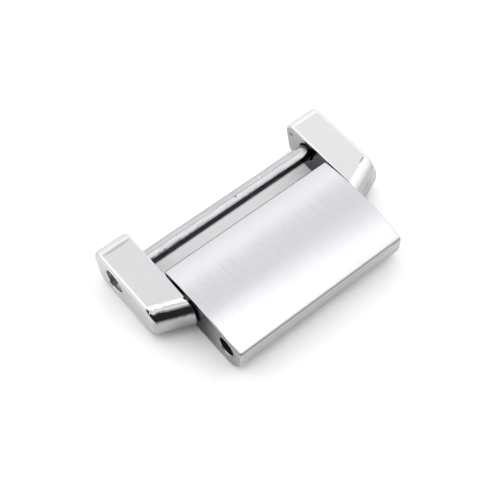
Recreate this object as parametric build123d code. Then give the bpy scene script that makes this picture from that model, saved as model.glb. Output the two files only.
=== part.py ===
from build123d import *
from math import hypot, radians, sqrt, tan
import os

# A link of a steel watch bracelet: a wide brushed centre link that swings
# between two polished outer links, and a loose bar with a slotted screw at each
# end, on which the next link's nose turns. All sizes are in millimetres.
#
# X runs across the bracelet, Y along it towards the bar, and Z up. The origin
# is in the middle of the link's box, on its underside.

# Across the bracelet
centre_width = 13.65
side_gap = 0.12
outer_width = 2.55

# Along the bracelet: the three axes are one pin spacing apart
pin_spacing = 4.10
nose_reach = 1.43
rear_reach = 2.25
pin_height = 1.68

# Centre link
crown_rise = 1.40
crown_offset = 1.13
crown_radius = 15.6
nose_top_radius = 0.20
nose_bottom_radius = 1.30
nose_room = 2.18
lip_reach = 2.45
rear_corner_radius = 0.10
centre_edge_radius = 0.09
link_bore_radius = 0.70
bore_chamfer = 0.07

# Outer links
outer_rise = 1.12
outer_nose_slant = 22.1
outer_nose_flat = 0.04
rear_lean = 14.0
rear_top_radius = 0.75
rear_bottom_radius = 0.80
outer_edge_radius = 0.34
inner_edge_radius = 0.07
bar_hole_radius = 0.71
screw_recess_radius = 0.85
screw_recess_depth = 0.80
recess_chamfer = 0.06

# Hinge pin, pressed into a blind seat in each outer link
hinge_pin_radius = 0.65
pin_seat_depth = 1.50
pin_chamfer = 0.08
seat_end_gap = 0.04

# Loose bar and its two screws
bar_radius = 0.60
bar_chamfer = 0.06
bar_end_gap = 0.04
tapped_radius = 0.41
tapped_depth = 2.20
drill_point = 118.0
screw_head_radius = 0.81
screw_head_height = 0.58
screw_head_chamfer = 0.07
screw_shank_radius = 0.37
screw_shank_length = 1.75
screw_tip_chamfer = 0.10
screw_seat_gap = 0.01
slot_width = 0.46
slot_depth = 0.26
left_slot_angle = 25.0
right_slot_angle = -40.0

# How far a cutting shape stands past the face that it cuts
overrun = 0.50

# Places that follow from the sizes
link_length = nose_reach + 2 * pin_spacing + rear_reach
front_y = -link_length / 2
rear_y = link_length / 2
bore_y = front_y + nose_reach
pin_y = bore_y + pin_spacing
bar_y = pin_y + pin_spacing
inner_x = centre_width / 2 + side_gap
outer_x = inner_x + outer_width
shoulder_x = outer_x - screw_recess_depth
crown_height = pin_height + crown_rise
outer_height = pin_height + outer_rise


def turned(corners, y, z):
    """A turned solid about the axis at y, z that runs along X, from (x, radius) corners."""
    outline = make_face(Polyline(*corners, close=True))
    return Pos(0, y, z) * revolve(outline, Axis.X)


def nearest_edge(solid, point):
    """The edge of the solid that passes closest to a point."""
    return solid.edges().sort_by_distance(point)[0]


def prism_across(outline, x_from, x_to):
    """A side outline of (y, z) points, drawn out along X."""
    face = Plane.YZ.offset(x_from) * make_face(Polyline(*outline, close=True))
    return extrude(face, amount=x_to - x_from)


def through_bore(half_length, radius, chamfer_size, y, z):
    """The space of a bore along X, flared at both mouths."""
    end = half_length + overrun
    mouth = radius + chamfer_size + overrun
    waist = half_length - chamfer_size
    corners = [(-end, 0), (-end, mouth), (-waist, radius), (waist, radius), (end, mouth), (end, 0)]
    return turned(corners, y, z)


def crown_z(y):
    """Height of the arched top at a place along the bracelet."""
    centre_y = pin_y - crown_offset
    return crown_height - crown_radius + sqrt(crown_radius**2 - (y - centre_y) ** 2)


def make_centre_link():
    """The wide middle link: arched top, round nose, hollow rear, two bores across."""
    lip_y = pin_y + lip_reach
    front_top = (front_y, crown_z(front_y))
    rear_top = (lip_y, crown_z(lip_y))
    top = ThreePointArc(front_top, (pin_y - crown_offset, crown_height), rear_top)
    sides = Polyline(rear_top, (lip_y, 0), (front_y, 0), front_top)
    outline = Plane.YZ * make_face(top + sides)
    link = extrude(outline, amount=centre_width / 2, both=True)

    # The rear is hollowed about the bar, so that the next link's nose can turn there
    link -= Pos(0, bar_y, pin_height) * Rot(0, 90, 0) * Cylinder(nose_room, 2 * outer_x)

    # Round the nose, then take the sharpness off the two rear corners
    link = fillet(nearest_edge(link, (0, front_y, 0)), nose_bottom_radius)
    link = fillet(nearest_edge(link, (0, front_y, crown_z(front_y))), nose_top_radius)
    rear_edges = link.edges().filter_by(Axis.X).group_by(Axis.Y)[-2:]
    for group in rear_edges:
        link = fillet(nearest_edge(link, group[0].center()), rear_corner_radius)
    for side in (0, -1):
        link = fillet(link.faces().sort_by(Axis.X)[side].edges(), centre_edge_radius)

    # The rear bore turns on the hinge pin; the front one is open for the previous bar
    for y in (pin_y, bore_y):
        link -= through_bore(centre_width / 2, link_bore_radius, bore_chamfer, y, pin_height)
    return link


def outer_blank():
    """The right-hand outer link before it is drilled."""
    nose_radius = (outer_height - outer_nose_flat) / 2
    slant = tan(radians(outer_nose_slant))
    nose_depth = hypot(1, slant) * outer_height / 2
    inner_front = pin_y - nose_depth
    outer_front = inner_front + slant * outer_width

    # The rear face leans, and its top radius stands furthest back
    corner_angle = radians(90 - rear_lean)
    top_corner = rear_y - rear_top_radius + rear_top_radius / tan(corner_angle / 2)
    bottom_corner = top_corner - outer_height * tan(radians(rear_lean))
    start_y = inner_front - overrun
    side = [(start_y, 0), (bottom_corner, 0), (top_corner, outer_height), (start_y, outer_height)]
    link = prism_across(side, inner_x, outer_x)

    # Seen from above, the nose is cut on a slant and reaches further forward inside
    past = top_corner + overrun
    in_x = inner_x - overrun
    out_x = outer_x + overrun
    in_front = inner_front - slant * overrun
    out_front = outer_front + slant * overrun
    plan = make_face(Polyline((in_x, in_front), (out_x, out_front), (out_x, past), (in_x, past), close=True))
    link &= extrude(Pos(0, 0, -overrun) * plan, amount=outer_height + 2 * overrun)

    middle_x = (inner_x + outer_x) / 2
    middle_front = (inner_front + outer_front) / 2
    link = fillet(nearest_edge(link, (middle_x, middle_front, outer_height)), nose_radius)
    link = fillet(nearest_edge(link, (middle_x, middle_front, 0)), nose_radius)
    link = fillet(nearest_edge(link, (middle_x, top_corner, outer_height)), rear_top_radius)
    link = fillet(nearest_edge(link, (middle_x, bottom_corner, 0)), rear_bottom_radius)
    link = fillet(link.faces().sort_by(Axis.X)[-1].edges(), outer_edge_radius)
    return fillet(link.faces().sort_by(Axis.X)[0].edges(), inner_edge_radius)


def make_outer_link():
    """The right-hand outer link: a seat for the hinge pin and a stepped hole for the bar."""
    link = outer_blank()
    seat_end = inner_x + pin_seat_depth + seat_end_gap
    seat = [(0, 0), (0, hinge_pin_radius), (seat_end, hinge_pin_radius), (seat_end, 0)]
    link -= turned(seat, pin_y, pin_height)
    hole = [
        (0, 0),
        (0, bar_hole_radius),
        (shoulder_x, bar_hole_radius),
        (shoulder_x, screw_recess_radius),
        (outer_x - recess_chamfer, screw_recess_radius),
        (outer_x + overrun, screw_recess_radius + recess_chamfer + overrun),
        (outer_x + overrun, 0),
    ]
    return link - turned(hole, bar_y, pin_height)


def make_hinge_pin():
    """The plain pin that the centre link swings on, chamfered at both ends."""
    end = inner_x + pin_seat_depth
    slim = hinge_pin_radius - pin_chamfer
    corners = [
        (-end, 0),
        (-end, slim),
        (-end + pin_chamfer, hinge_pin_radius),
        (end - pin_chamfer, hinge_pin_radius),
        (end, slim),
        (end, 0),
    ]
    return turned(corners, pin_y, pin_height)


def make_bar():
    """The loose bar, with a tapped hole in each end."""
    end = shoulder_x - bar_end_gap
    slim = bar_radius - bar_chamfer
    drilled = end - tapped_depth
    point = drilled - tapped_radius / tan(radians(drill_point / 2))
    half = [
        (0, 0),
        (0, bar_radius),
        (end - bar_chamfer, bar_radius),
        (end, slim),
        (end, tapped_radius),
        (drilled, tapped_radius),
        (point, 0),
    ]
    right = turned(half, bar_y, pin_height)
    return right + mirror(right, about=Plane.YZ)


def make_screw(slot_angle):
    """The right-hand slotted screw: a low head in the recess, a shank in the bar."""
    seat = shoulder_x + screw_seat_gap
    top = seat + screw_head_height
    tip = seat - screw_shank_length
    corners = [
        (tip, 0),
        (tip, screw_shank_radius - screw_tip_chamfer),
        (tip + screw_tip_chamfer, screw_shank_radius),
        (seat, screw_shank_radius),
        (seat, screw_head_radius),
        (top - screw_head_chamfer, screw_head_radius),
        (top, screw_head_radius - screw_head_chamfer),
        (top, 0),
    ]
    slot = Box(2 * slot_depth, slot_width, 4 * screw_head_radius)
    place = Pos(top, bar_y, pin_height) * Rot(slot_angle, 0, 0)
    return turned(corners, bar_y, pin_height) - place * slot


def write_node(name, solid):
    """Write one piece under its own name."""
    solid.label = name
    export_step(solid, f"parts/{name}.step")


os.makedirs("parts", exist_ok=True)
right_link = make_outer_link()
write_node("centre_link", make_centre_link())
write_node("right_outer_link", right_link)
write_node("left_outer_link", mirror(right_link, about=Plane.YZ))
write_node("hinge_pin", make_hinge_pin())
write_node("threaded_bar", make_bar())
write_node("right_bar_screw", make_screw(right_slot_angle))
write_node("left_bar_screw", mirror(make_screw(left_slot_angle), about=Plane.YZ))
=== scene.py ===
# %% [markdown]
# # A watch bracelet link in polished and brushed steel
#
# One link of a screwed steel bracelet lies on a white table. A wide brushed link swings between
# two mirror-polished outer links. Behind it a bare bar waits for the next link's nose, and a small
# slotted screw at each end holds that bar.
#
# Steel has almost no colour of its own. What tells polish from brushing is the shape of the
# reflections, so three things matter here, in this order: true surfaces whose normals turn
# smoothly, a studio worth reflecting, and the fine marks that the tools leave.
#
# The working parts come first. They are a fixed frame: each piece below is built where its
# working part is, at the same size, and rides on the same body, so the joints still work.

# %% Load the working parts
from math import acos, atan2, cos, hypot, pi, radians, sin, sqrt, tan

import bmesh
import bpy
from mathutils import Matrix, Vector


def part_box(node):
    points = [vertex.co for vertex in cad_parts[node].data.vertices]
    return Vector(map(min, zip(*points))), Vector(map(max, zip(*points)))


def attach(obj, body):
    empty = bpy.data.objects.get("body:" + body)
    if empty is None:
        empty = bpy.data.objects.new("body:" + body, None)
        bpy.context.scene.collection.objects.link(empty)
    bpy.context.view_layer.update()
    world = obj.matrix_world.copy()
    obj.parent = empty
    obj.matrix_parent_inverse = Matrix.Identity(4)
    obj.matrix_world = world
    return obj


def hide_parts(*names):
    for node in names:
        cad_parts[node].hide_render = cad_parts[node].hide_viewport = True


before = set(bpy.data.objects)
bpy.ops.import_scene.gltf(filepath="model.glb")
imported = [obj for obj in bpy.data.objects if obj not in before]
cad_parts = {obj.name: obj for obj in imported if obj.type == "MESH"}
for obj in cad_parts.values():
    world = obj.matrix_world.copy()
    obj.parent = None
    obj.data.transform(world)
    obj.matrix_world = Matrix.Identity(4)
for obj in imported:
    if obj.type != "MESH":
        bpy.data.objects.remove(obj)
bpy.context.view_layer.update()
mm = 0.001

# %% [markdown]
# ## The camera
#
# The link is photographed from close by, over its front left corner and from well above. The
# camera stands 76 mm away, so near edges look clearly larger than far ones. Its direction is given
# the way a photographer would give it: how far round, how high, how far away, and how much the
# camera is tilted about its own axis.
#
# Everything is small here, so the camera's near limit has to come down too. At Blender's usual
# limit of 100 mm the whole link would be cut away.

# %% Camera
camera_azimuth = radians(-40.41)
camera_elevation = radians(58.93)
camera_distance = 76.03 * mm
camera_tilt = radians(1.13)
camera_view = radians(24.99)
camera_target = Vector((-0.495, 0.768, 0)) * mm


def make_camera():
    """The camera at the photograph's viewing angle."""
    data = bpy.data.cameras.new("camera")
    data.sensor_fit = "HORIZONTAL"
    data.angle = camera_view
    data.clip_start = camera_distance / 100
    camera = bpy.data.objects.new("camera", data)
    # Read from the end: step back, tilt the camera, raise it, walk round, and move to the target
    turn = Matrix.Rotation(camera_azimuth, 4, "Z")
    turn @= Matrix.Rotation(pi / 2 - camera_elevation, 4, "X")
    turn @= Matrix.Rotation(camera_tilt, 4, "Z")
    step_back = Matrix.Translation((0, 0, camera_distance))
    camera.matrix_world = Matrix.Translation(camera_target) @ turn @ step_back
    bpy.context.scene.collection.objects.link(camera)
    bpy.context.scene.camera = camera
    return camera


camera = make_camera()
print("camera at", [round(v / mm, 2) for v in camera.matrix_world.translation], "mm")

# %% [markdown]
# ## Sizes
#
# The overall places are read from the working parts, so the two models can't drift apart. The
# radii are the real ones, in millimetres: a corner is what a mirror finish shows best.

# %% Sizes from the working parts
def corners_mm(node):
    """Lowest and highest corner of a working part, in millimetres."""
    low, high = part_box(node)
    return low / mm, high / mm


centre_low, centre_high = corners_mm("centre_link")
outer_low, outer_high = corners_mm("right_outer_link")
pin_low, pin_high = corners_mm("hinge_pin")
bar_low, bar_high = corners_mm("threaded_bar")
screw_low, screw_high = corners_mm("right_bar_screw")

axis_z = (bar_low.z + bar_high.z) / 2
bar_y = (bar_low.y + bar_high.y) / 2
pin_y = (pin_low.y + pin_high.y) / 2
bore_y = 2 * pin_y - bar_y
print("axes at y", [round(y, 3) for y in (bore_y, pin_y, bar_y)], "and z", round(axis_z, 3))

# %% [markdown]
# ## How a polished solid is built
#
# A mirror shows every fault of a mesh. Bevel and smooth shading guess the normals from the faces
# around a point, and the guess bends the reflection near each edge. These solids are simple enough
# to write down exactly: a side outline made of lines and arcs, drawn out across the bracelet, with
# a small ball rolled along both ends to round them.
#
# So the skin is made in strips, and each corner of each face keeps its true normal. A light
# band then runs over the nose without a kink, and the mesh still has few faces.

# %% A skin of strips with true normals
def mesh_object(name, bm):
    """A new object in the scene, from a mesh in the making."""
    mesh = bpy.data.meshes.new(name)
    bm.to_mesh(mesh)
    bm.free()
    made = bpy.data.objects.new(name, mesh)
    bpy.context.scene.collection.objects.link(made)
    return made


class Skin:
    """A closed surface made in strips. Each corner of each face keeps its true normal."""

    def __init__(self, name):
        self.name = name
        self.bm = bmesh.new()
        self.normals = {}
        self.finish_number = 0

    def ring(self, points):
        """New vertices, from points in millimetres."""
        return [self.bm.verts.new(Vector(point) * mm) for point in points]

    def face(self, corners):
        """One face from (vertex, normal) pairs, leaving out a vertex that comes twice."""
        kept = dict(corners)
        if len(kept) > 2:
            made = self.bm.faces.new(kept.keys())
            made.material_index = self.finish_number
            self.normals[made] = kept

    def strip(self, first, second, first_normals, second_normals, finishes=None):
        """A closed band of faces between two rings. A ring of one vertex closes to a point."""
        near = list(zip(first, first_normals))
        far = list(zip(second, second_normals))
        for i in range(max(len(near), len(far))):
            if finishes:
                self.finish_number = finishes[i]
            corners = [near[i % len(near)], near[(i + 1) % len(near)]]
            corners += [far[(i + 1) % len(far)], far[i % len(far)]]
            self.face(corners)

    def flat(self, rings, normal):
        """A flat face inside the first ring, with the other rings as holes in it."""
        edges = []
        for ring in rings:
            for a, b in zip(ring, ring[1:] + ring[:1]):
                edges.append(self.bm.edges.get((a, b)) or self.bm.edges.new((a, b)))
        filled = bmesh.ops.triangle_fill(self.bm, use_beauty=True, edges=edges, normal=normal)
        for made in filled["geom"]:
            if isinstance(made, bmesh.types.BMFace):
                made.material_index = self.finish_number
                self.normals[made] = {vertex: normal for vertex in made.verts}

    def to_piece(self):
        """The Blender object, with its normals set corner by corner."""
        bmesh.ops.recalc_face_normals(self.bm, faces=self.bm.faces)
        open_edges = [edge for edge in self.bm.edges if not edge.is_manifold]
        normals = []
        for made in self.bm.faces:
            made.smooth = True
            normals += [self.normals[made][loop.vert] for loop in made.loops]
        piece = mesh_object(self.name, self.bm)
        piece.data.normals_split_custom_set(normals)
        print(self.name, len(piece.data.polygons), "faces,", len(open_edges), "open edges")
        return piece


print("a skin can", [step for step in vars(Skin) if not step.startswith("_")])

# %% [markdown]
# ## Outlines of arcs
#
# A side outline is a list of places, each with its normal. Where two arcs are rounded into each
# other, the rounding's own centre lies where two larger or smaller circles meet, and one small
# function finds it. The last number of each arc is the number of steps it is made in.

# %% Arcs and rounded corners
def arc(centre, radius, start, end, steps, inside=False):
    """Places on an arc with their normals. Angles run from +Y towards +Z, in radians."""
    places = []
    for i in range(steps + 1):
        angle = start + (end - start) * i / steps
        y, z = cos(angle), sin(angle)
        side = -1 if inside else 1
        places.append(((centre[0] + radius * y, centre[1] + radius * z), (side * y, side * z)))
    return places


def circles_meet(first, first_radius, second, second_radius, side):
    """Where two circles meet, to the left or right of the way from the first to the second."""
    dy, dz = second[0] - first[0], second[1] - first[1]
    apart = hypot(dy, dz)
    along = (apart**2 + first_radius**2 - second_radius**2) / (2 * apart)
    across = side * sqrt(first_radius**2 - along**2)
    y = first[0] + (along * dy - across * dz) / apart
    z = first[1] + (along * dz + across * dy) / apart
    return y, z


def angle_to(centre, place):
    """Direction from a centre to a place, from +Y towards +Z."""
    return atan2(place[1] - centre[1], place[0] - centre[0])


quarter = arc((0, 0), 1, 0, pi / 2, 2)
print("places on a quarter turn:", [(round(y, 2), round(z, 2)) for (y, z), normal in quarter])

# %% [markdown]
# ## Rolling a ball along the ends
#
# The outline becomes a solid with two flat ends. Between an end and the outline's own surface a
# ball is rolled: its centre stays one radius inside both, and the skin follows it round. On the
# slanted nose the ball turns less than a quarter on one side and more on the other, and the same
# few lines hold for both.
#
# Each place on the outline has its own ball, because a worn edge isn't equally round all the way:
# a polishing wheel takes more off a nose or a rear corner than off a long straight edge.

# %% Solids drawn out across the bracelet
class Station:
    """A place on a side outline that may shift along Y as it is drawn out along X."""

    def __init__(self, place, normal, start_x=0, slope=0, finish=0):
        self.place = place
        self.start_x = start_x
        self.slope = slope
        self.finish = finish
        self.normal = Vector((-slope * normal[0], normal[0], normal[1])).normalized()

    def at(self, x):
        """The place after drawing out as far as x."""
        y, z = self.place
        return Vector((x, y + self.slope * (x - self.start_x), z))


def end_rows(stations, end_x, outwards, balls, steps):
    """Rows of places and normals on the rounding at one end, from the outline to the flat end."""
    out = Vector((outwards, 0, 0))
    rows = []
    for i in range(steps + 1):
        row = []
        for station, ball in zip(stations, balls):
            start = end_x - outwards * ball + ball * station.normal.x
            centre = station.at(start) - ball * station.normal
            turn = acos(max(-1, min(1, station.normal.dot(out))))
            share = i / steps
            normal = sin(turn * (1 - share)) * station.normal + sin(turn * share) * out
            normal /= sin(turn)
            row.append((centre + ball * normal, normal))
        rows.append(row)
    return rows


def draw_out(skin, stations, ends, balls, steps, end_strips=0, end_finishes=None):
    """The outer skin between two flat ends. Returns the ring at each end.

    The strips nearest to an end may change their finishes, by a dict of old and new ones.
    """
    left = end_rows(stations, ends[0], -1, balls[0], steps[0])
    right = end_rows(stations, ends[1], 1, balls[1], steps[1])
    rows = left[::-1] + right
    rings = [skin.ring([place for place, normal in row]) for row in rows]
    for i in range(len(rows) - 1):
        finishes = [station.finish for station in stations]
        if min(i, len(rows) - 2 - i) < end_strips:
            finishes = [end_finishes.get(finish, finish) for finish in finishes]
        first_normals = [normal for place, normal in rows[i]]
        second_normals = [normal for place, normal in rows[i + 1]]
        skin.strip(rings[i], rings[i + 1], first_normals, second_normals, finishes)
    return rings[0], rings[-1]


corner = end_rows([Station((0, 0), (0, 1))], 1.0, 1, [0.5], 2)
print("a rolled corner passes", [tuple(round(v, 2) for v in row[0][0]) for row in corner])

# %% [markdown]
# ## Turned shapes
#
# Bores, recesses, the bar and the screws are all turned about an axis across the bracelet. A
# profile of (x, radius) corners gives them. It is walked with the steel on its right, so the same
# function turns a bar or the wall of a hole. Ninety-six sides keep even the bar's outline round.

# %% Turning about an axis
sides = 96
turns = [2 * pi * i / sides for i in range(sides)]


def turned_ring(skin, x, y, radii):
    """A ring of vertices about the axis at y, with one radius for each of them."""
    return skin.ring([(x, y + r * cos(a), axis_z + r * sin(a)) for r, a in zip(radii, turns)])


def turn_profile(skin, profile, y, finishes=None):
    """Strips from corner to corner of an (x, radius) profile. Returns the first and last ring.

    A radius of zero closes the profile to a point.
    """
    rings = [turned_ring(skin, x, y, [radius] * (sides if radius else 1)) for x, radius in profile]
    for i in range(len(profile) - 1):
        if finishes:
            skin.finish_number = finishes[i]
        dx = profile[i + 1][0] - profile[i][0]
        dr = profile[i + 1][1] - profile[i][1]
        size = hypot(dx, dr)
        normals = [Vector((-dr, dx * cos(a), dx * sin(a))) / size for a in turns]
        skin.strip(rings[i], rings[i + 1], normals, normals)
    return rings[0], rings[-1]


print("each turned edge is within", round(1000 * (1 - cos(pi / sides)), 2), "thousandths of round")

# %% [markdown]
# ## The brushed centre link
#
# Its top is one long shallow arc, its nose is well rounded below and only eased above, and its
# rear is hollowed about the bar so that the next link can turn there. Two bores cross it, each with
# a small flare at its mouths. The edges along its sides are only just broken, which is what gives
# the brushed top its crisp outline. Only at the nose are they rounder, and more on the left than on
# the right. The half of that rounding next to the side was dressed together with the side.

# %% Outline of the centre link
crown_offset = 1.13
crown_radius = 15.6
nose_top_radius = 0.30
nose_bottom_radius = 1.30
nose_room = 2.18
rear_corner_radius = 0.10
BRUSHED, GROUND, MILLED, BORED, SIDE = range(5)


def centre_outline():
    """Side outline of the centre link, from the rear lip over the crown and back underneath."""
    front_y, lip_y = centre_low.y, centre_high.y
    bar = (bar_y, axis_z)
    crown = (pin_y - crown_offset, centre_high.z - crown_radius)
    corner = rear_corner_radius

    top = nose_top_radius
    top_y = front_y + top
    rise = sqrt((crown_radius - top) ** 2 - (top_y - crown[0]) ** 2)
    front_top = (top_y, crown[1] + rise)
    front_bottom = (front_y + nose_bottom_radius, nose_bottom_radius)
    heel = (lip_y - corner, corner)
    drop = sqrt((nose_room + corner) ** 2 - (bar_y - heel[0]) ** 2)
    toe = (heel[0], axis_z - drop)
    lip = circles_meet(crown, crown_radius - corner, bar, nose_room + corner, 1)

    front_turn = angle_to(crown, front_top)
    rear_turn = angle_to(crown, lip)
    toe_turn = angle_to(toe, bar)
    lip_turn = angle_to(lip, bar)
    stretches = [
        (BRUSHED, arc(crown, crown_radius, rear_turn, front_turn, 60)),
        (BRUSHED, arc(front_top, top, front_turn, pi, 10)[1:-1]),
        (GROUND, arc(front_top, top, pi, pi, 1)[:1]),
        (GROUND, arc(front_bottom, nose_bottom_radius, pi, 1.5 * pi, 24)),
        (GROUND, arc(heel, corner, 1.5 * pi, 2 * pi, 8)),
        (MILLED, arc(toe, corner, 0, toe_turn, 5)),
        (MILLED, arc(bar, nose_room, toe_turn - pi, lip_turn - pi, 32, inside=True)[1:]),
        (MILLED, arc(lip, corner, lip_turn, rear_turn, 8)[1:-1]),
    ]
    return [Station(*place, finish=finish) for finish, places in stretches for place in places]


print("the centre link's outline has", len(centre_outline()), "places")

# %% Centre link
centre_edge_radius = 0.09
nose_edge_radii = (0.30, 0.13)
centre_ball_steps = (6, 6)
side_strips = 3
link_bore_radius = 0.70
bore_flare = 0.07


def centre_balls(outline, nose_radius):
    """The ball's radius at each place. It grows where the nose begins."""
    balls = []
    for station in outline:
        share = min(1, (station.place[0] - centre_low.y) / nose_bottom_radius)
        balls.append(nose_radius + (centre_edge_radius - nose_radius) * share)
    return balls


def flared_bore(skin, ends, y):
    """The wall of a bore through the link. Returns the ring at its left and right mouth."""
    low, high = ends
    wide = link_bore_radius + bore_flare
    narrow = link_bore_radius
    profile = [(high, wide), (high - bore_flare, narrow), (low + bore_flare, narrow), (low, wide)]
    right, left = turn_profile(skin, profile, y, [SIDE, BORED, SIDE])
    return left, right


def make_centre_link():
    """The whole centre link as one closed skin."""
    skin = Skin("brushed_centre_link")
    ends = (centre_low.x, centre_high.x)
    outline = centre_outline()
    balls = [centre_balls(outline, radius) for radius in nose_edge_radii]
    left, right = draw_out(skin, outline, ends, balls, centre_ball_steps, side_strips, {GROUND: SIDE})
    front_bore = flared_bore(skin, ends, bore_y)
    rear_bore = flared_bore(skin, ends, pin_y)
    skin.finish_number = SIDE
    skin.flat([left, front_bore[0], rear_bore[0]], Vector((-1, 0, 0)))
    skin.flat([right, front_bore[1], rear_bore[1]], Vector((1, 0, 0)))
    return skin.to_piece()


centre_link = make_centre_link()
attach(centre_link, "centre")
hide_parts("centre_link")

# %% [markdown]
# ## The polished outer links
#
# Seen from the side, each is a low block with a half-round nose and a rear face that leans. Seen
# from above, the nose is cut on a slant and stands furthest forward on the inner side. The outer
# edge is rounded generously and the inner edge hardly at all, as on the real ones, so a bright
# band frames the top on one side and a thin line on the other. Behind the bar's axis the inner edge
# is a little rounder.
#
# The polish stops a little more than half way round the nose's upper half. Below that it is satin.
#
# The right link is built, and the left one is its mirror image: the same function with the sides
# swapped.

# %% Outline of an outer link
nose_slant = tan(radians(22.1))
nose_flat = 0.04
rear_lean = radians(14)
rear_top_radius = 0.75
rear_bottom_radius = 0.80
nose_steps = 30
satin_start = radians(54)
POLISHED, SATIN, INNER, DRILLED, RECESS = range(5)


def outer_outline():
    """Side outline of the right outer link, starting at its inner side."""
    height = outer_high.z
    rear_y = outer_high.y
    nose_radius = (height - nose_flat) / 2
    stretch = hypot(1, nose_slant)
    nose_y = outer_low.y + stretch * height / 2

    # The rear face leans between its two roundings
    top = (rear_y - rear_top_radius, height - rear_top_radius)
    gap = rear_top_radius - rear_bottom_radius
    down = (height - rear_top_radius - rear_bottom_radius - gap * sin(rear_lean)) / cos(rear_lean)
    bottom_y = top[0] + gap * cos(rear_lean) - down * sin(rear_lean)
    bottom = (bottom_y, rear_bottom_radius)

    rear = arc(bottom, rear_bottom_radius, -pi / 2, -rear_lean, 16)
    rear += arc(top, rear_top_radius, -rear_lean, pi / 2, 20)
    stations = [Station(place, normal) for place, normal in rear]
    upper = arc((0, height - nose_radius), nose_radius, pi / 2, pi, nose_steps)
    lower = arc((0, nose_radius), nose_radius, pi, 1.5 * pi, nose_steps)
    step = pi / 2 / nose_steps
    for i, ((y, z), normal) in enumerate(upper + lower):
        place = (nose_y + stretch * y, z)
        finish = POLISHED if (i + 0.5) * step < satin_start else SATIN
        leaning = (normal[0] / stretch, normal[1])
        stations.append(Station(place, leaning, outer_low.x, nose_slant, finish))
    return stations


print("an outer link's outline has", len(outer_outline()), "places")

# %% Outer links
outer_edge_radius = 0.34
inner_edge_radius = 0.07
rear_inner_radius = 0.16
inner_ball_steps, outer_ball_steps = 5, 12
bar_hole_radius = 0.71
screw_recess_radius = 0.85
screw_recess_depth = 0.80
recess_flare = 0.06
pin_radius = 0.65
pin_seat_gap = 0.04


def make_outer_link(name, side):
    """An outer link. side is 1 for the right one and -1 for its mirror image on the left."""
    skin = Skin(name)
    inner_x, outer_x = outer_low.x, outer_high.x
    outline = outer_outline()
    inner_balls = []
    for station in outline:
        at_rear = station.place[0] > bar_y
        inner_balls.append(rear_inner_radius if at_rear else inner_edge_radius)
    balls = inner_balls, [outer_edge_radius] * len(outline)
    steps = inner_ball_steps, outer_ball_steps
    inner, outer = draw_out(skin, outline, (inner_x, outer_x), balls, steps)

    shoulder_x = outer_x - screw_recess_depth
    hole = [
        (outer_x, screw_recess_radius + recess_flare),
        (outer_x - recess_flare, screw_recess_radius),
        (shoulder_x, screw_recess_radius),
        (shoulder_x, bar_hole_radius),
        (inner_x, bar_hole_radius),
    ]
    recess_mouth, hole_mouth = turn_profile(skin, hole, bar_y, [POLISHED, RECESS, RECESS, DRILLED])
    seat_end = pin_high.x + pin_seat_gap
    seat = [(seat_end, 0), (seat_end, pin_radius), (inner_x, pin_radius)]
    seat_mouth = turn_profile(skin, seat, pin_y)[1]
    skin.finish_number = INNER
    skin.flat([inner, hole_mouth, seat_mouth], Vector((-1, 0, 0)))
    skin.finish_number = POLISHED
    skin.flat([outer, recess_mouth], Vector((1, 0, 0)))

    if side < 0:
        for vertex in skin.bm.verts:
            vertex.co.x = -vertex.co.x
        for corners in skin.normals.values():
            for vertex, normal in corners.items():
                corners[vertex] = Vector((-normal.x, normal.y, normal.z))
    return skin.to_piece()


right_link = make_outer_link("polished_right_link", 1)
left_link = make_outer_link("polished_left_link", -1)
for piece, node in ((right_link, "right_outer_link"), (left_link, "left_outer_link")):
    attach(piece, "outer_frame")
    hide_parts(node)

# %% [markdown]
# ## The bar
#
# A plain drawn bar with a tapped hole in each end. Its corners are eased and then its two end
# faces run inwards to the drilled holes, whose points are cones, as a drill leaves them.

# %% Bar
bar_radius = 0.60
bar_easing = 0.06
tapped_radius = 0.41
tapped_depth = 2.20
drill_point = radians(118)


def make_bar():
    """The bar, as a profile that starts at the bottom of the left hole and ends in the right one."""
    end = bar_high.x
    drilled = end - tapped_depth
    point = drilled - tapped_radius / tan(drill_point / 2)
    half = [
        (end - bar_easing, bar_radius),
        (end, bar_radius - bar_easing),
        (end, tapped_radius),
        (drilled, tapped_radius),
        (point, 0),
    ]
    mirrored = [(-x, radius) for x, radius in reversed(half)]
    skin = Skin("drawn_bar")
    turn_profile(skin, mirrored + half, bar_y)
    return skin.to_piece()


bar = make_bar()
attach(bar, "bar")
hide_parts("threaded_bar")

# %% [markdown]
# ## The two screws
#
# Each has a low slotted head and a fine thread. The thread could be faked with a bump, but one
# loop gives it for real: the radius at a place follows a zigzag in how far along it is, less the
# turns made round the axis. That is all that a helix is.
#
# The slot is the one cut here that isn't easy to write down, because it runs through the head's
# eased edge, so a Boolean modifier makes it. Its result is applied at once, and sharp edges are
# marked by their angle.

# %% A thread
thread_pitch = 0.20
thread_crest = 0.40
thread_root = 0.30
rows_a_turn = 8


def thread_radius(x, turn, start_x, end_x):
    """Radius of the thread, fading to its root at the tip and below the head."""
    phase = (x / thread_pitch - turn / (2 * pi)) % 1
    tooth = 1 - abs(2 * phase - 1)
    fade = min(1, (x - start_x) / thread_pitch, (end_x - x) / thread_pitch)
    return thread_root + (thread_crest - thread_root) * tooth * max(0, fade)


def thread_rings(skin, start_x, end_x, y):
    """Rings along the threaded shank, with normals left to the smooth shading."""
    count = round((end_x - start_x) / thread_pitch * rows_a_turn)
    rings = []
    for i in range(count + 1):
        x = start_x + (end_x - start_x) * i / count
        rings.append(turned_ring(skin, x, y, [thread_radius(x, a, start_x, end_x) for a in turns]))
    return rings


print("the thread is", round(thread_crest - thread_root, 2), "mm deep")

# %% Slotted screws
head_radius = 0.81
head_height = 0.58
head_easing = 0.07
slot_width = 0.46
slot_depth = 0.26
slot_turns = {"right": radians(-40), "left": radians(25)}


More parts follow.
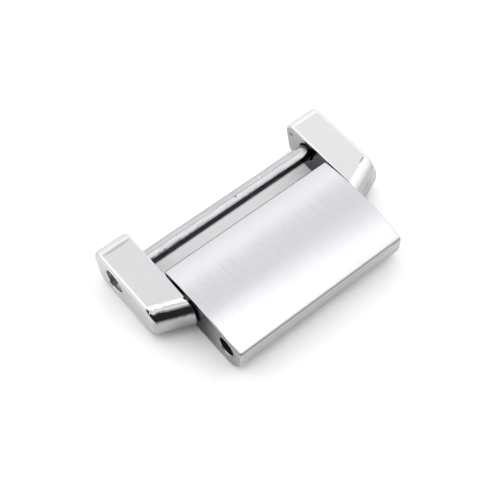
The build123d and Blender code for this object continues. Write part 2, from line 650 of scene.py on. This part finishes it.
def cut_slot(piece, top_x, slot_turn):
    """Cut the screwdriver slot with a Boolean, then keep the result as the piece's own mesh."""
    cutter = bmesh.new()
    bmesh.ops.create_cube(cutter, size=1)
    size = Vector((2 * slot_depth, slot_width, 4 * head_radius)) * mm
    place = Matrix.Translation(Vector((top_x, bar_y, axis_z)) * mm)
    place @= Matrix.Rotation(slot_turn, 4, "X") @ Matrix.Diagonal(size).to_4x4()
    cutter.transform(place)
    knife = mesh_object("slot_cutter", cutter)
    boolean = piece.modifiers.new("slot", "BOOLEAN")
    boolean.object = knife
    boolean.solver = "EXACT"
    bpy.context.view_layer.update()
    cut = piece.evaluated_get(bpy.context.evaluated_depsgraph_get())
    piece.data = bpy.data.meshes.new_from_object(cut)
    piece.modifiers.clear()
    bpy.data.objects.remove(knife)


def make_screw(name, side, slot_turn):
    """A slotted screw with a real thread. side is 1 on the right and -1 on the left."""
    skin = Skin(name)
    seat_x = screw_high.x - head_height
    tip_x = screw_low.x
    rings = thread_rings(skin, tip_x, seat_x, bar_y)
    tip = skin.ring([(tip_x, bar_y, axis_z)])
    around = [Vector((0, 1, 0))] * sides
    skin.strip(tip, rings[0], around, around)
    for first, second in zip(rings, rings[1:]):
        skin.strip(first, second, around, around)
    head = [(seat_x, head_radius), (screw_high.x - head_easing, head_radius)]
    head += [(screw_high.x, head_radius - head_easing), (screw_high.x, 0)]
    under = turn_profile(skin, head, bar_y)[0]
    skin.strip(rings[-1], under, around, around)
    piece = skin.to_piece()
    cut_slot(piece, screw_high.x, slot_turn)
    if side < 0:
        piece.data.transform(Matrix.Diagonal((-1, 1, 1, 1)))
        piece.data.flip_normals()
    return piece


right_screw = make_screw("right_screw", 1, slot_turns["right"])
left_screw = make_screw("left_screw", -1, slot_turns["left"])
for piece, body in ((right_screw, "right_screw"), (left_screw, "left_screw")):
    piece.data.shade_smooth()
    piece.data.set_sharp_from_angle(angle=radians(25))
    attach(piece, body)
    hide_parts(piece.name.replace("screw", "bar_screw"))
print("screws:", len(right_screw.data.polygons), "faces each")

# %% [markdown]
# ## Wires
#
# A material is a small web of nodes, and most of the code for one is wiring. It gets short when a
# value in the web can be used like a number. So a wire is one such value, and arithmetic on it adds
# the node that does it. A recipe then reads like a sum.

# %% A wire
class Wire:
    """One value in a node tree. Arithmetic on it adds the node that does it."""

    def __init__(self, wires, socket):
        self.wires = wires
        self.socket = socket

    def __add__(self, other):
        return self.wires.math("ADD", self, other)

    def __sub__(self, other):
        return self.wires.math("SUBTRACT", self, other)

    def __mul__(self, other):
        return self.wires.math("MULTIPLY", self, other)

    def __truediv__(self, other):
        return self.wires.math("DIVIDE", self, other)

    def __abs__(self):
        return self.wires.math("ABSOLUTE", self)

    def along(self, direction):
        """How far a place lies along a direction."""
        return self.wires.math("DOT_PRODUCT", self, direction)

    def between(self, low, high, start=0.0, end=1.0):
        """Start at low, end at high, and a smooth change between them."""
        parts = self, low, high, start, end
        node = self.wires.add("ShaderNodeMapRange", *parts, interpolation_type="SMOOTHSTEP")
        return node["Result"]


def is_vector(value):
    """Whether a wire or a plain value is a vector."""
    if isinstance(value, Wire):
        return value.socket.type in ("VECTOR", "RGBA")
    return isinstance(value, tuple)


print("a plain place is a vector:", is_vector((0, 0, 1)), "and a number is one:", is_vector(0.5))

# %% [markdown]
# ## Adding nodes
#
# A wiring looks after one tree. It adds a node, feeds its inputs wires or plain values, and gives
# its outputs back as wires. Everything that the materials need is said once more in short: a sum, a
# noise, a blend, a normal that leans.

# %% A wiring
class Wiring:
    """Adds nodes to a tree and joins them. The tree is emptied first."""

    def __init__(self, tree):
        self.tree = tree
        tree.nodes.clear()

    def feed(self, node, *in_order, **by_name):
        """Feed a node's inputs, in their order or by name. Returns its outputs as wires."""
        fed = list(zip(node.inputs, in_order))
        fed += [(node.inputs[name], value) for name, value in by_name.items()]
        for socket, value in fed:
            if isinstance(value, Wire):
                self.tree.links.new(value.socket, socket)
            else:
                socket.default_value = value
        return {socket.name: Wire(self, socket) for socket in node.outputs if socket.enabled}

    def add(self, kind, *in_order, **named):
        """A new node. Names with a small first letter are its settings, the others its inputs."""
        node = self.tree.nodes.new(kind)
        for setting in [name for name in named if name[0].islower()]:
            setattr(node, setting, named.pop(setting))
        return self.feed(node, *in_order, **named)

    def math(self, operation, *values):
        """One operation, on vectors where a value is one. A number stretches a vector."""
        vectors = [value for value in values if is_vector(value)]
        if operation == "MULTIPLY" and len(vectors) == 1:
            vector, size = values
            return self.add("ShaderNodeVectorMath", vector, operation="SCALE", Scale=size)["Vector"]
        kind = "ShaderNodeVectorMath" if vectors else "ShaderNodeMath"
        (result,) = self.add(kind, *values, operation=operation).values()
        return result

    def split(self, vector):
        """The three parts of a vector."""
        return self.add("ShaderNodeSeparateXYZ", vector).values()

    def noise(self, place, detail, roughness, output="Fac"):
        """Soft noise with one blob a unit."""
        look = {"Scale": 1.0, "Detail": detail, "Roughness": roughness}
        return self.add("ShaderNodeTexNoise", Vector=place, **look)[output]

    def cells(self, place, scale, feature, output):
        """Random cells."""
        return self.add("ShaderNodeTexVoronoi", feature=feature, Vector=place, Scale=scale)[output]

    def blend(self, share, first, second):
        """A colour between two colours."""
        return self.add("ShaderNodeMix", data_type="RGBA", Factor=share, A=first, B=second)["Result"]

    def surface_normal(self):
        """The normal of the mesh itself."""
        return self.add("ShaderNodeNewGeometry")["Normal"]

    def lean(self, normal, towards, amount):
        """A normal that leans towards a direction on the piece, also where a joint turns it."""
        turn = {"vector_type": "VECTOR", "convert_from": "OBJECT", "convert_to": "WORLD"}
        turned = self.add("ShaderNodeVectorTransform", towards, **turn)["Vector"]
        return self.math("NORMALIZE", normal + turned * amount)

    def use(self, group, **values):
        """A node group with its inputs fed."""
        return self.add("ShaderNodeGroup", node_tree=group, **values)


print("a wiring can", [step for step in vars(Wiring) if not step.startswith("_")])

# %% [markdown]
# ## Where a mark is, in millimetres
#
# Every mark below is laid out on the piece itself, in millimetres, so that it keeps its real size
# and stays put when the piece moves. For turned pieces the same place is also unrolled: how far
# along the axis, how far out from it, and how far round.
#
# All materials need this, so it is a node group: a small web of its own, with named inputs and
# outputs, that a material uses as one node. A recipe says what goes on inside.

# %% Node groups, and places on a piece
ACROSS, AHEAD, UP = (1, 0, 0), (0, 1, 0), (0, 0, 1)
bar_axis = (0.0, bar_y, axis_z)
pin_axis = (0.0, pin_y, axis_z)


def make_group(name, inputs, outputs, recipe):
    """A node group. Its recipe takes a wiring and the inputs, and returns the outputs."""
    group = bpy.data.node_groups.new(name, "ShaderNodeTree")
    for direction, sockets in (("INPUT", inputs), ("OUTPUT", outputs)):
        for socket, kind in sockets.items():
            kind = "NodeSocket" + kind
            group.interface.new_socket(name=socket, in_out=direction, socket_type=kind)
    wires = Wiring(group)
    wires.add("NodeGroupOutput", **recipe(wires, wires.add("NodeGroupInput")))
    print(name, "takes", list(inputs), "and gives", list(outputs))
    return group


def place_recipe(wires, given):
    """The place on the piece, in millimetres, and the same place unrolled about an axis."""
    place = wires.add("ShaderNodeTexCoord")["Object"] * (1 / mm)
    x, y, z = wires.split(place - given["Axis"])
    out = wires.math("SQRT", y * y + z * z)
    unrolled = wires.add("ShaderNodeCombineXYZ", x, out, wires.math("ARCTAN2", z, y))["Vector"]
    return {"Place": place, "Unrolled": unrolled}


place_on_piece = make_group(
    "place_on_piece", {"Axis": "Vector"}, {"Place": "Vector", "Unrolled": "Vector"}, place_recipe
)

# %% [markdown]
# ## Lines that a tool leaves
#
# A belt, a lathe and a die all leave lines: long along one way and very fine across it. So one
# group serves them all. It squeezes noise by a number of lines per millimetre, which is given for
# each direction. Fine lines are mixed with some that are three times as wide, as on any worn belt.
#
# Lines do two things. They change how bright the steel is, a little, and each one leans its own
# way, so that the edge of a reflection turns ragged where it crosses them. The second is what makes
# steel look brushed, and a bump map hardly shows it, because a bump leans the surface across the
# lines and not along them. So the group puts out a normal that leans along the lines.

# %% Tool lines
wide_lines_apart = (7.3, 2.9, 5.1)
wide_lines_size = 0.35
fine_share, wide_share = 0.65, 0.35
line_contrast = (0.34, 0.66)


def lines_recipe(wires, given):
    """Fine lines, and the normal of a surface that each line leans its own way."""
    squeezed = given["Place"] * given["Density"]
    fine = wires.noise(squeezed, detail=2.0, roughness=0.6)
    apart = (squeezed + wide_lines_apart) * wide_lines_size
    both = fine * fine_share + wires.noise(apart, detail=1.0, roughness=0.5) * wide_share
    amount = (both - 0.5) * given["Lean"]
    normal = wires.lean(wires.surface_normal(), given["Along"], amount)
    return {"Lines": both.between(*line_contrast), "Normal": normal}


tool_lines = make_group(
    "tool_lines",
    {"Place": "Vector", "Density": "Vector", "Along": "Vector", "Lean": "Float"},
    {"Lines": "Float", "Normal": "Vector"},
    lines_recipe,
)

# %% [markdown]
# ## Marks of handling
#
# Even new steel has been in a hand and on a bench. Hair scratches cross it in short stretches, a
# few specks of dirt or pits sit on it, and a thin film dulls it in clouds.
#
# The edges between random cells are straight and thin, which is what a hair scratch is, once noise
# has hidden most of them. The middles of other cells make the specks.

# %% Scratches, specks and film
scratch_cells = (0.9, 0.5, 0.7)
scratch_width = (0.004, 0.014)
scratch_gaps_a_mm = 1.7
scratch_gaps = (0.50, 0.62)
specks_a_mm = 1.6
speck_rarity = (0.60, 1.0)
speck_size = 0.09
speck_softness = 0.03
clouds_a_mm = 0.8
film_clouds = (0.35, 0.70)


def handling_recipe(wires, given):
    """Hair scratches, dark specks and a cloudy film, each as a mask."""
    place = given["Place"] * given["Coarse"]
    from_edge = wires.cells(place * scratch_cells, 1.0, "DISTANCE_TO_EDGE", "Distance")
    shown = wires.noise(place * scratch_gaps_a_mm, detail=2.0, roughness=0.5)
    hair = from_edge.between(*scratch_width, 1.0, 0.0)

    chosen = wires.cells(place, specks_a_mm, "F1", "Color")
    chosen = wires.add("ShaderNodeSeparateColor", chosen)["Red"]
    size = chosen.between(*speck_rarity, 0.0, speck_size)
    inside = size - wires.cells(place, specks_a_mm, "F1", "Distance")

    film = wires.noise(place * clouds_a_mm, detail=4.0, roughness=0.6)
    return {
        "Scratches": hair * shown.between(*scratch_gaps),
        "Specks": inside.between(0.0, speck_softness),
        "Film": film.between(*film_clouds),
    }


handling = make_group(
    "handling",
    {"Place": "Vector", "Coarse": "Float"},
    {"Scratches": "Float", "Specks": "Float", "Film": "Float"},
    handling_recipe,
)

# %% [markdown]
# ## Single dents
#
# Random marks give a worn look, but a few dents on this link sit where anyone would notice them. A
# nick is an oval patch at a given place, and it is drawn over the tone of the steel. A long flat
# oval also serves for a painted dark line, a painted reflection, near the end of a face.

# %% Nicks
nick_edge = (0.6, 1.1)


def nick_recipe(wires, given):
    """One small dent at a given place, as a mask."""
    away = wires.math("LENGTH", (given["Place"] - given["Middle"]) / given["Reach"])
    return {"Mask": away.between(*nick_edge, 1.0, 0.0)}


nick = make_group(
    "nick",
    {"Place": "Vector", "Middle": "Vector", "Reach": "Vector"},
    {"Mask": "Float"},
    nick_recipe,
)

# %% [markdown]
# ## The ripple of a polishing wheel
#
# A buffed face is never quite flat: the soft wheel takes a little more here and there. Straight
# reflections wave for that reason, and it is what tells polished steel from glass. Three soft noises
# lean the normal, one for each direction, and a noise texture's colour is just that.

# %% Polishing ripple
def ripple_recipe(wires, given):
    """The normal of a surface that waves a little."""
    waves = wires.noise(given["Place"] * given["Waves"], detail=1.0, roughness=0.5, output="Color")
    lean = (waves - (0.5, 0.5, 0.5)) * given["Lean"]
    return {"Normal": wires.math("NORMALIZE", wires.surface_normal() + lean)}


polishing_ripple = make_group(
    "polishing_ripple",
    {"Place": "Vector", "Waves": "Float", "Lean": "Float"},
    {"Normal": "Vector"},
    ripple_recipe,
)

# %% [markdown]
# ## Steel
#
# All pieces are one steel, and the finishes differ only in their marks. So a steel in the making is
# a wiring that already knows its place and its marks of handling. It keeps the tone so far, and each
# step lays something over that tone.
#
# Each finish has its own run of lines: how many fit in a millimetre in each direction, and which way
# they run. Lines also stretch a highlight across themselves. Blender calls that anisotropy, and it
# needs to know which way the lines run: the tangent here runs round the X axis, and a quarter turn
# puts the stretch across it. So that turn is the third part of a run.

# %% Steel in the making
steel_blue = 0.014
lines_round_x = 0.25
lines_along_x = 0.0


def grey(level, blue=steel_blue):
    """Steel's grey, which leans a little towards lavender."""
    return (level, level - blue / 3, level + blue, 1)


class Steel(Wiring):
    """A bare metal in the making. It starts as one grey."""

    def __init__(self, name, coarse, level=1.0, axis=bar_axis):
        self.material = bpy.data.materials.new(name)
        self.material.use_nodes = True
        super().__init__(self.material.node_tree)
        self.place, self.unrolled = self.use(place_on_piece, Axis=axis).values()
        marks = self.use(handling, Place=self.place, Coarse=coarse)
        self.scratches, self.specks, self.film = marks.values()
        self.tone = grey(level)
        self.stretch_turn = 0.0

    def draw_lines(self, place, run, lean, greys):
        """Draw a run of tool lines in two greys. Returns the lines and their normal."""
        density, along, self.stretch_turn = run
        lines = self.use(tool_lines, Place=place, Density=density, Along=along, Lean=lean)
        self.tone = self.blend(lines["Lines"], *greys)
        return lines["Lines"], lines["Normal"]

    def stain(self, mask, level, strength=None):
        """Lay a grey over the tone where a mask is, fully or with less strength."""
        share = mask * strength if strength else mask
        self.tone = self.blend(share, self.tone, grey(level))

    def add_nicks(self, nicks):
        """Lay each nick of a list of (middle, reach, level) over the tone."""
        for middle, reach, level in nicks:
            self.stain(self.use(nick, Place=self.place, Middle=middle, Reach=reach)["Mask"], level)

    def finish(self, roughness, normal, stretch=0.0):
        """Feed the metal's shader. Returns the material."""
        look = {"Base Color": self.tone, "Metallic": 1, "Roughness": roughness, "Normal": normal}
        if stretch:
            tangent = self.add("ShaderNodeTangent", direction_type="RADIAL", axis="X")["Tangent"]
            look |= {"Anisotropic": stretch, "Anisotropic Rotation": self.stretch_turn}
            look["Tangent"] = tangent
        shader = self.add("ShaderNodeBsdfPrincipled", **look)
        self.add("ShaderNodeOutputMaterial", Surface=shader["BSDF"])
        print(self.material.name, "has", len(self.tree.nodes), "nodes")
        return self.material


print("a middle steel grey is", [round(part, 3) for part in grey(0.6)])

# %% [markdown]
# ## Brushed steel
#
# The top of the centre link was drawn over an abrasive belt from front to back. Nearly thirty lines
# fit in a millimetre across, and each runs for a millimetre and a half.
#
# A belt is soft, so it rounds the front over a little, and more on the left than on the right. It
# is two degrees at most, yet the border of the white reflection runs aslant because of it. Leaning
# the normal is enough for that. The front edge itself was broken with a stone, which leaves it
# duller than the top, and it is painted paler there: painted light over the dark line that its
# reflection would show.

# %% Brushed top
belt_run = ((28, 0.7, 0.7), AHEAD, lines_round_x)
belt_lean = 0.12
belt_greys = [grey(0.762, blue=0.022), grey(0.797, blue=0.022)]
belt_stretch = 0.80
belt_roughness = 0.27
line_roughness = 0.06
stoned_heights = (2.52, 2.38)
stoned_edge_painted_grey = 0.95
stoned_roughness = 0.22
rounding_middle = 0.018
rounding_per_mm = -0.0045
rounding_starts = (-2.3, -3.2)
rounding_ends = (-5.2, -4.4)


def make_brushed():
    """The belt's lines, the rounded front and its broken edge."""
    steel = Steel("brushed_steel", coarse=1.0)
    place = steel.place
    lines, normal = steel.draw_lines(place, belt_run, belt_lean, belt_greys)
    steel.stain(steel.specks, level=0.25, strength=0.35)
    # Painted light: the broken front edge is painted paler
    stoned_and_painted_edge = place.along(UP).between(*stoned_heights)
    steel.stain(stoned_and_painted_edge, stoned_edge_painted_grey)
    dull = lines * line_roughness + stoned_and_painted_edge * stoned_roughness + belt_roughness

    ahead = place.along(AHEAD)
    rounding = place.along(ACROSS) * rounding_per_mm + rounding_middle
    rounding = rounding * ahead.between(*rounding_starts) * ahead.between(*rounding_ends)
    return steel.finish(dull, steel.lean(normal, (0, -1, 0), rounding), belt_stretch)


brushed_steel = make_brushed()

# %% [markdown]
# ## Ground, satin, milled and drilled steel
#
# Away from the top, the tool changes and the lines with it. The nose is ground along its edge. The
# underside of the outer links' noses is only satin. The hollow behind, the bores and the recesses
# are left rough, as the cutter made them, because nobody sees them on the wrist. The hollow and the
# bores are also painted very dark: painted shade, for the shade that fills them.
#
# One function makes all of these. A shade is painted light or shade, a grey laid over a face along a
# direction: the inner faces are painted dark between the links, the centre link's sides are painted
# dark next to the outer links' noses, the nose has a painted highlight in a narrow strip below its
# upper edge with a darker band above, and the satin underside is painted lighter towards the outer
# corner. Each shade says along what, from where to where, and the new grey.

# %% Ground and milled faces
ground_lean = 0.35
ground_greys = (0.94, 1.04)
ground_stretch = 0.55
film_dulls = 0.10


def make_ground(name, level, roughness, run, shades=(), nicks=()):
    """Tool lines with a film, shades and nicks over them."""
    steel = Steel(name, coarse=1.4)
    greys = [grey(part * level) for part in ground_greys]
    lines, normal = steel.draw_lines(steel.place, run, ground_lean, greys)
    steel.stain(steel.film, level=0.7 * level, strength=0.30)
    for direction, start, end, shade in shades:
        steel.stain(abs(steel.place.along(direction)).between(start, end), shade)
    steel.add_nicks(nicks)
    steel.stain(steel.specks, level=0.3 * level, strength=0.5)
    dull = steel.film * film_dulls + (roughness - film_dulls / 2)
    return steel.finish(dull, normal, ground_stretch)


edge_run = ((0.3, 12, 12), ACROSS, lines_along_x)
satin_run = ((9, 1, 1), UP, lines_along_x)
face_run = ((1, 0.5, 12), AHEAD, lines_round_x)
cutter_run = ((14, 0.6, 0.6), AHEAD, lines_round_x)
drill_run = ((11, 1.2, 1.2), ACROSS, lines_along_x)
# Painted highlight on the centre link's nose, with a painted darker band above it
painted_highlight_strip = [(UP, 1.70, 1.92, 0.99), (UP, 1.95, 2.12, 0.79)]
# Painted light: the satin underside of each outer nose is painted lighter towards its outer corner
painted_light_outer_corner = [(ACROSS, 8.1, 9.1, 0.78)]
# Painted shade: the outer links' inner faces are painted dark in front of the bar, between the links
painted_shade_between_links = [(AHEAD, 4.3, 3.5, 0.17)]
# Painted shade: the centre link's sides are painted dark next to the outer links' noses
painted_shade_by_nose = [(AHEAD, 4.3, 2.1, 0.18)]
inner_nicks = [((6.94, 5.33, 1.96), (0.2, 0.20, 0.10), 0.02)]

# Each finish: its grey and its roughness, its run of lines, and any shades and nicks
ground_steel = make_ground("ground_steel", 0.87, 0.34, edge_run, painted_highlight_strip)
satin_steel = make_ground("satin_steel", 0.64, 0.22, satin_run, painted_light_outer_corner)
inner_steel = make_ground("inner_steel", 0.58, 0.24, face_run, painted_shade_between_links, inner_nicks)
side_steel = make_ground("side_steel", 0.66, 0.26, face_run, painted_shade_by_nose)
# Painted shade: the milled hollow is painted very dark, for the shade in it
milled_steel = make_ground("milled_steel", 0.12, 0.42, cutter_run)
recess_steel = make_ground("recess_steel", 0.64, 0.24, cutter_run)
# Painted shade: the bores and bar holes are painted dark, for the shade inside them
drilled_steel = make_ground("drilled_steel", 0.24, 0.40, drill_run)

# %% [markdown]
# ## Polished steel
#
# The outer links are buffed to a mirror. What is left to draw is the ripple of the wheel, a faint
# film, and hair scratches that only show where the light just misses them.
#
# The wheel rides over the outer corner of each nose, so the ripple is stronger there, and the black
# band in the nose wavers near that corner. The right link is painted a little lighter than the left,
# and the outer sides lighter still: painted light in their reflections.

# %% Polished links
wheel_waves, wheel_lean = 1.3, 0.05
corner_waves, corner_lean = 3.0, 0.55
corner_across = (7.9, 8.9)
corner_ahead = (0.3, 0.0)
outer_side = (9.40, 9.48)
outer_side_painted_grey = 0.98
polish_roughness = 0.05
haze_roughness = 0.05
scratch_roughness = 0.16
scratch_depth = 0.004 * mm


def make_polished(name, level, nicks):
    """A mirror finish with its ripple, film, scratches and nicks."""
    steel = Steel(name, coarse=1.1, level=level)
    place = steel.place
    across = abs(place.along(ACROSS))
    steel.stain(steel.film, level=0.93 * level, strength=0.25)
    # Painted light: the outer side is painted lighter
    steel.stain(across.between(*outer_side), outer_side_painted_grey)
    steel.add_nicks(nicks)
    steel.stain(steel.specks, level=0.20, strength=0.4)
    dull = steel.scratches * scratch_roughness + steel.film * haze_roughness + polish_roughness

    lean = across.between(*corner_across) * place.along(AHEAD).between(*corner_ahead) * corner_lean
    ripple = steel.use(polishing_ripple, Place=place, Waves=wheel_waves, Lean=wheel_lean)
    corner = steel.use(polishing_ripple, Place=place, Waves=corner_waves, Lean=lean)
    wavy = steel.math("NORMALIZE", ripple["Normal"] + corner["Normal"])
    dents = {"Strength": 0.15, "Distance": scratch_depth, "Height": steel.scratches}
    scratched = steel.add("ShaderNodeBump", invert=True, Normal=wavy, **dents)
    return steel.finish(dull, scratched["Normal"])


left_nicks_and_painted_line = [
    ((-7.04, -0.66, 2.79), (0.10, 0.16, 0.15), 0.05),
    # A painted dark line, a painted reflection, across the rear of the left link's top
    ((-8.15, 5.05, 2.79), (1.20, 0.11, 0.15), 0.64),
]
right_nicks = [
    ((8.62, 0.15, 2.79), (0.11, 0.06, 0.15), 0.62),
    ((8.80, 0.21, 2.79), (0.12, 0.07, 0.15), 0.36),
    ((8.98, 0.28, 2.79), (0.11, 0.07, 0.15), 0.32),
]
# Painted light: the right link is painted lighter than the left
left_polish = make_polished("polished_left_steel", 0.86, left_nicks_and_painted_line)
right_polish = make_polished("polished_right_steel", 0.94, right_nicks)

# %% [markdown]
# ## Drawn, turned and ground round stock
#
# The bar was drawn through a die, which leaves streaks along it and makes it a little lumpy. The
# screws were turned and the pin was ground, which leaves rings. The same tool lines make all three.
# Only the way they run changes, and for the round pieces that way is taken from the unrolled place.
#
# The bar's right end is painted dark in uneven patches where it sits in the outer link: painted
# shade.

# %% Round stock
round_greys = (-0.05, 0.04)
round_stretch = 0.60
clean_by = 0.04
lump_waves = 4.5
grime_patches = 3.0
grime_reach = 0.6
grime_grey = 0.13


def make_round(name, axis, level, roughness, run, lean, lumps=0.0, grime=(), nicks=()):
    """Round stock with its lines, lumps, nicks and the painted shade at its end."""
    steel = Steel(name, coarse=1.2, axis=axis)
    greys = [grey(level + more) for more in round_greys]
    lines, normal = steel.draw_lines(steel.unrolled, run, lean, greys)
    steel.stain(steel.specks, level=0.10, strength=0.8)
    # Painted shade: the end that sits in the outer link is darkened in noisy patches
    if grime:
        patches = steel.noise(steel.place * grime_patches, detail=2.0, roughness=0.5)
        reached = patches * grime_reach + steel.place.along(ACROSS)
        steel.stain(reached.between(*grime), grime_grey)
    steel.add_nicks(nicks)
    ripple = steel.use(polishing_ripple, Place=steel.place, Waves=lump_waves, Lean=lumps)
    lumpy = steel.math("NORMALIZE", ripple["Normal"] + normal)
    dull = steel.film * film_dulls + (roughness - clean_by)
    return steel.finish(dull, lumpy, round_stretch)


die_run = ((1.2, 1, 6), AHEAD, lines_along_x)
lathe_run = ((14, 14, 0.4), ACROSS, lines_round_x)
grinder_run = ((12, 1, 0.3), ACROSS, lines_round_x)
bar_marks = {
    "lumps": 0.20,
    "grime": (6.65, 7.15),
    "nicks": [
        ((0.52, 3.56, 2.28), (0.07, 0.07, 0.1), 0.08),
        ((2.73, 3.76, 2.28), (0.08, 0.06, 0.1), 1.0),
    ],
}
drawn_steel = make_round("drawn_steel", bar_axis, 0.65, 0.14, die_run, 0.14, **bar_marks)
turned_steel = make_round("turned_steel", bar_axis, 0.55, 0.24, lathe_run, 0.20)
pin_steel = make_round("pin_steel", pin_axis, 0.60, 0.20, grinder_run, 0.12)

# %% [markdown]
# ## Finishes on their faces
#
# Each skin has numbered its faces by finish while it was made, so a piece only needs its materials
# in the same order. The hinge pin is still the working part itself. It gets its finish the same way.

# %% Assign the finishes
finishes = {
    centre_link: [brushed_steel, ground_steel, milled_steel, drilled_steel, side_steel],
    right_link: [right_polish, satin_steel, inner_steel, drilled_steel, recess_steel],
    left_link: [left_polish, satin_steel, inner_steel, drilled_steel, recess_steel],
    bar: [drawn_steel],
    right_screw: [turned_steel],
    left_screw: [turned_steel],
}
for piece, materials in finishes.items():
    for material in materials:
        piece.data.materials.append(material)
    counts = [0] * len(materials)
    for face in piece.data.polygons:
        counts[face.material_index] += 1
    print(piece.name, {material.name: count for material, count in zip(materials, counts)})
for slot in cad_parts["hinge_pin"].material_slots:
    slot.material = pin_steel

# %% [markdown]
# ## The studio
#
# What steel shows is the room, so the room is drawn with care. It is a white tent. Behind the link
# two seams run across it as slightly darker strips. To the right it fades towards the table, and
# towards the front it opens on the dark side of the studio, which is the black band in the left
# link's nose. The lamp hangs straight overhead, above the tent's own cloth. A seam in the cloth
# crosses the left half of it, and it shows as the grey line in the white of that nose.
#
# Each side of the tent is a ramp: how bright it is at each height, in degrees. The height behind
# is measured in the plane across the bracelet, so that the seams there are straight strips. The
# sides fade into each other round the horizon.

# %% Sides of the tent
behind_levels = [(0, 1.0), (28, 1.0), (35, 0.90), (40, 0.92), (46, 1.16), (52, 1.32), (57, 0.84)]
behind_levels += [(63, 0.86), (70, 0.82), (79, 0.93), (82, 1.08), (86, 1.30), (100, 1.36)]
right_levels = [(0, 0.52), (17, 0.62), (31, 0.88), (43, 1.04), (52, 1.24), (64, 1.16), (90, 1.3)]
front_levels = [(0, 0.18), (6, 0.16), (9, 0.02), (48, 0.02), (50, 0.30), (58, 0.40), (62, 0.88)]
front_levels += [(74, 0.96), (80, 1.36)]
left_levels = [(0, 0.82), (13, 0.80), (30, 1.06), (60, 1.26), (84, 1.34)]

# Each side's levels, then the direction of its middle, half its width and how softly it ends
right_side = (right_levels, 128, 38, 14)
left_side = (left_levels, 308, 30, 14)
front_side = (front_levels, 220, 60, 8)
sides_of_tent = [right_side, left_side, front_side]


def tent_ramp(wires, height, levels):
    """Brightness by height, where the height is given in degrees."""
    node = wires.tree.nodes.new("ShaderNodeValToRGB")
    node.color_ramp.interpolation = "EASE"
    elements = node.color_ramp.elements
    elements.remove(elements[-1])
    for i, (degrees_up, level) in enumerate(levels):
        where = degrees_up / 180
        element = elements[0] if i == 0 else elements.new(where)
        element.position = where
        element.color = grey(level, 0)
    return wires.feed(node, height / pi)["Color"]


print("the tent has", 1 + len(sides_of_tent), "sides")

# %% The lamp, and the whole tent
lamp_level = 4.4
lamp_height = (74, 79)
lamp_rear_edge = (91, 95)
lamp_seam_rear = (95, 97)
lamp_seam_front = (113, 110)
lamp_seam_right = (0.15, 0.0)
lamp_seam_level = 0.72


def between_degrees(angle, edges):
    """A share that changes smoothly between two angles, given in degrees."""
    return angle.between(*[radians(edge) for edge in edges])


def tent_light(wires):
    """How bright the tent is in every direction."""
    x, y, z = wires.split(wires.add("ShaderNodeTexCoord")["Generated"])
    height = wires.math("ARCSINE", z)
    round_about = wires.math("ARCTAN2", x, y)
    seam_height = wires.math("ARCTAN2", z, y)
    light = tent_ramp(wires, seam_height, behind_levels)
    for levels, middle, half_width, soft in sides_of_tent:
        away = abs(wires.math("WRAP", round_about - radians(middle), pi, -pi))
        share = between_degrees(away, (half_width + soft, half_width - soft))
        light = wires.blend(share, light, tent_ramp(wires, height, levels))

    lamp = between_degrees(height, lamp_height) * between_degrees(seam_height, lamp_rear_edge)
    light = wires.blend(lamp, light, grey(lamp_level, 0))
    seam = between_degrees(seam_height, lamp_seam_rear) * x.between(*lamp_seam_right)
    seam = seam * between_degrees(seam_height, lamp_seam_front)
    return wires.blend(seam, light, grey(lamp_seam_level, 0))


def make_tent():
    """The world: the tent for what lights or mirrors, and plain white behind the table."""
    world = bpy.data.worlds.new("tent")
    bpy.context.scene.world = world
    world.use_nodes = True
    wires = Wiring(world.node_tree)
    tent = wires.add("ShaderNodeBackground", Color=tent_light(wires))["Background"]
    white = wires.add("ShaderNodeBackground", Color=(1, 1, 1, 1))["Background"]
    from_camera = wires.add("ShaderNodeLightPath")["Is Camera Ray"]
    seen = wires.add("ShaderNodeMixShader", from_camera, tent, white)["Shader"]
    wires.add("ShaderNodeOutputWorld", Surface=seen)


make_tent()
print("the lamp is at", lamp_level)

# %% [markdown]
# ## The table
#
# A white sheet lies under the link. For the camera it is a little whiter than white, so that only
# the link's own shadow shows on it, and it glows a very little, there and in the steel. The steel
# mirrors it as plain white paper with a painted shade that darkens it towards the dark side of the
# studio. So the low faces in front come out a deeper grey than those behind.

# %% Table
table_half_width = 1500
table_drop = 0.002
paper_white = (1.41, 1.39, 1.40, 1)
table_white = 0.92
table_glow = 0.02
dark_side = (-0.35, -0.94, 0)
fade_between = (2.0, 6.0)
painted_shade_white = 0.80


def make_sheet():
    """The sheet's material."""
    material = bpy.data.materials.new("white_sheet")
    material.use_nodes = True
    wires = Wiring(material.node_tree)
    path = wires.add("ShaderNodeLightPath")
    place = wires.use(place_on_piece, Axis=bar_axis)["Place"]
    # Painted shade: in reflections the sheet darkens towards the dark side of the studio
    mirrored_white = place.along(dark_side).between(*fade_between, table_white, painted_shade_white)
    mirrored_share = wires.math("SUBTRACT", 1.0, path["Is Camera Ray"])
    colour = wires.blend(mirrored_share, paper_white, mirrored_white)
    shown = wires.math("MAXIMUM", path["Is Glossy Ray"], path["Is Transmission Ray"])
    shown = wires.math("MAXIMUM", shown, path["Is Camera Ray"])
    sheet = wires.add("ShaderNodeBsdfDiffuse", Color=colour)["BSDF"]
    glow = wires.add("ShaderNodeEmission", Strength=shown * table_glow)["Emission"]
    both = wires.add("ShaderNodeAddShader", sheet, glow)["Shader"]
    wires.add("ShaderNodeOutputMaterial", Surface=both)
    return material


def make_table():
    """The sheet as one grid, a hair below the link."""
    bm = bmesh.new()
    bmesh.ops.create_grid(bm, x_segments=8, y_segments=8, size=table_half_width * mm)
    table = mesh_object("table", bm)
    table.location.z = -table_drop * mm
    table.data.materials.append(make_sheet())
    return table


table = make_table()
bpy.context.scene.view_settings.view_transform = "Standard"
print("the table has", len(table.data.polygons), "faces")

# %% [markdown]
# ## The link's size
#
# The dressed link must be the size of its working parts.
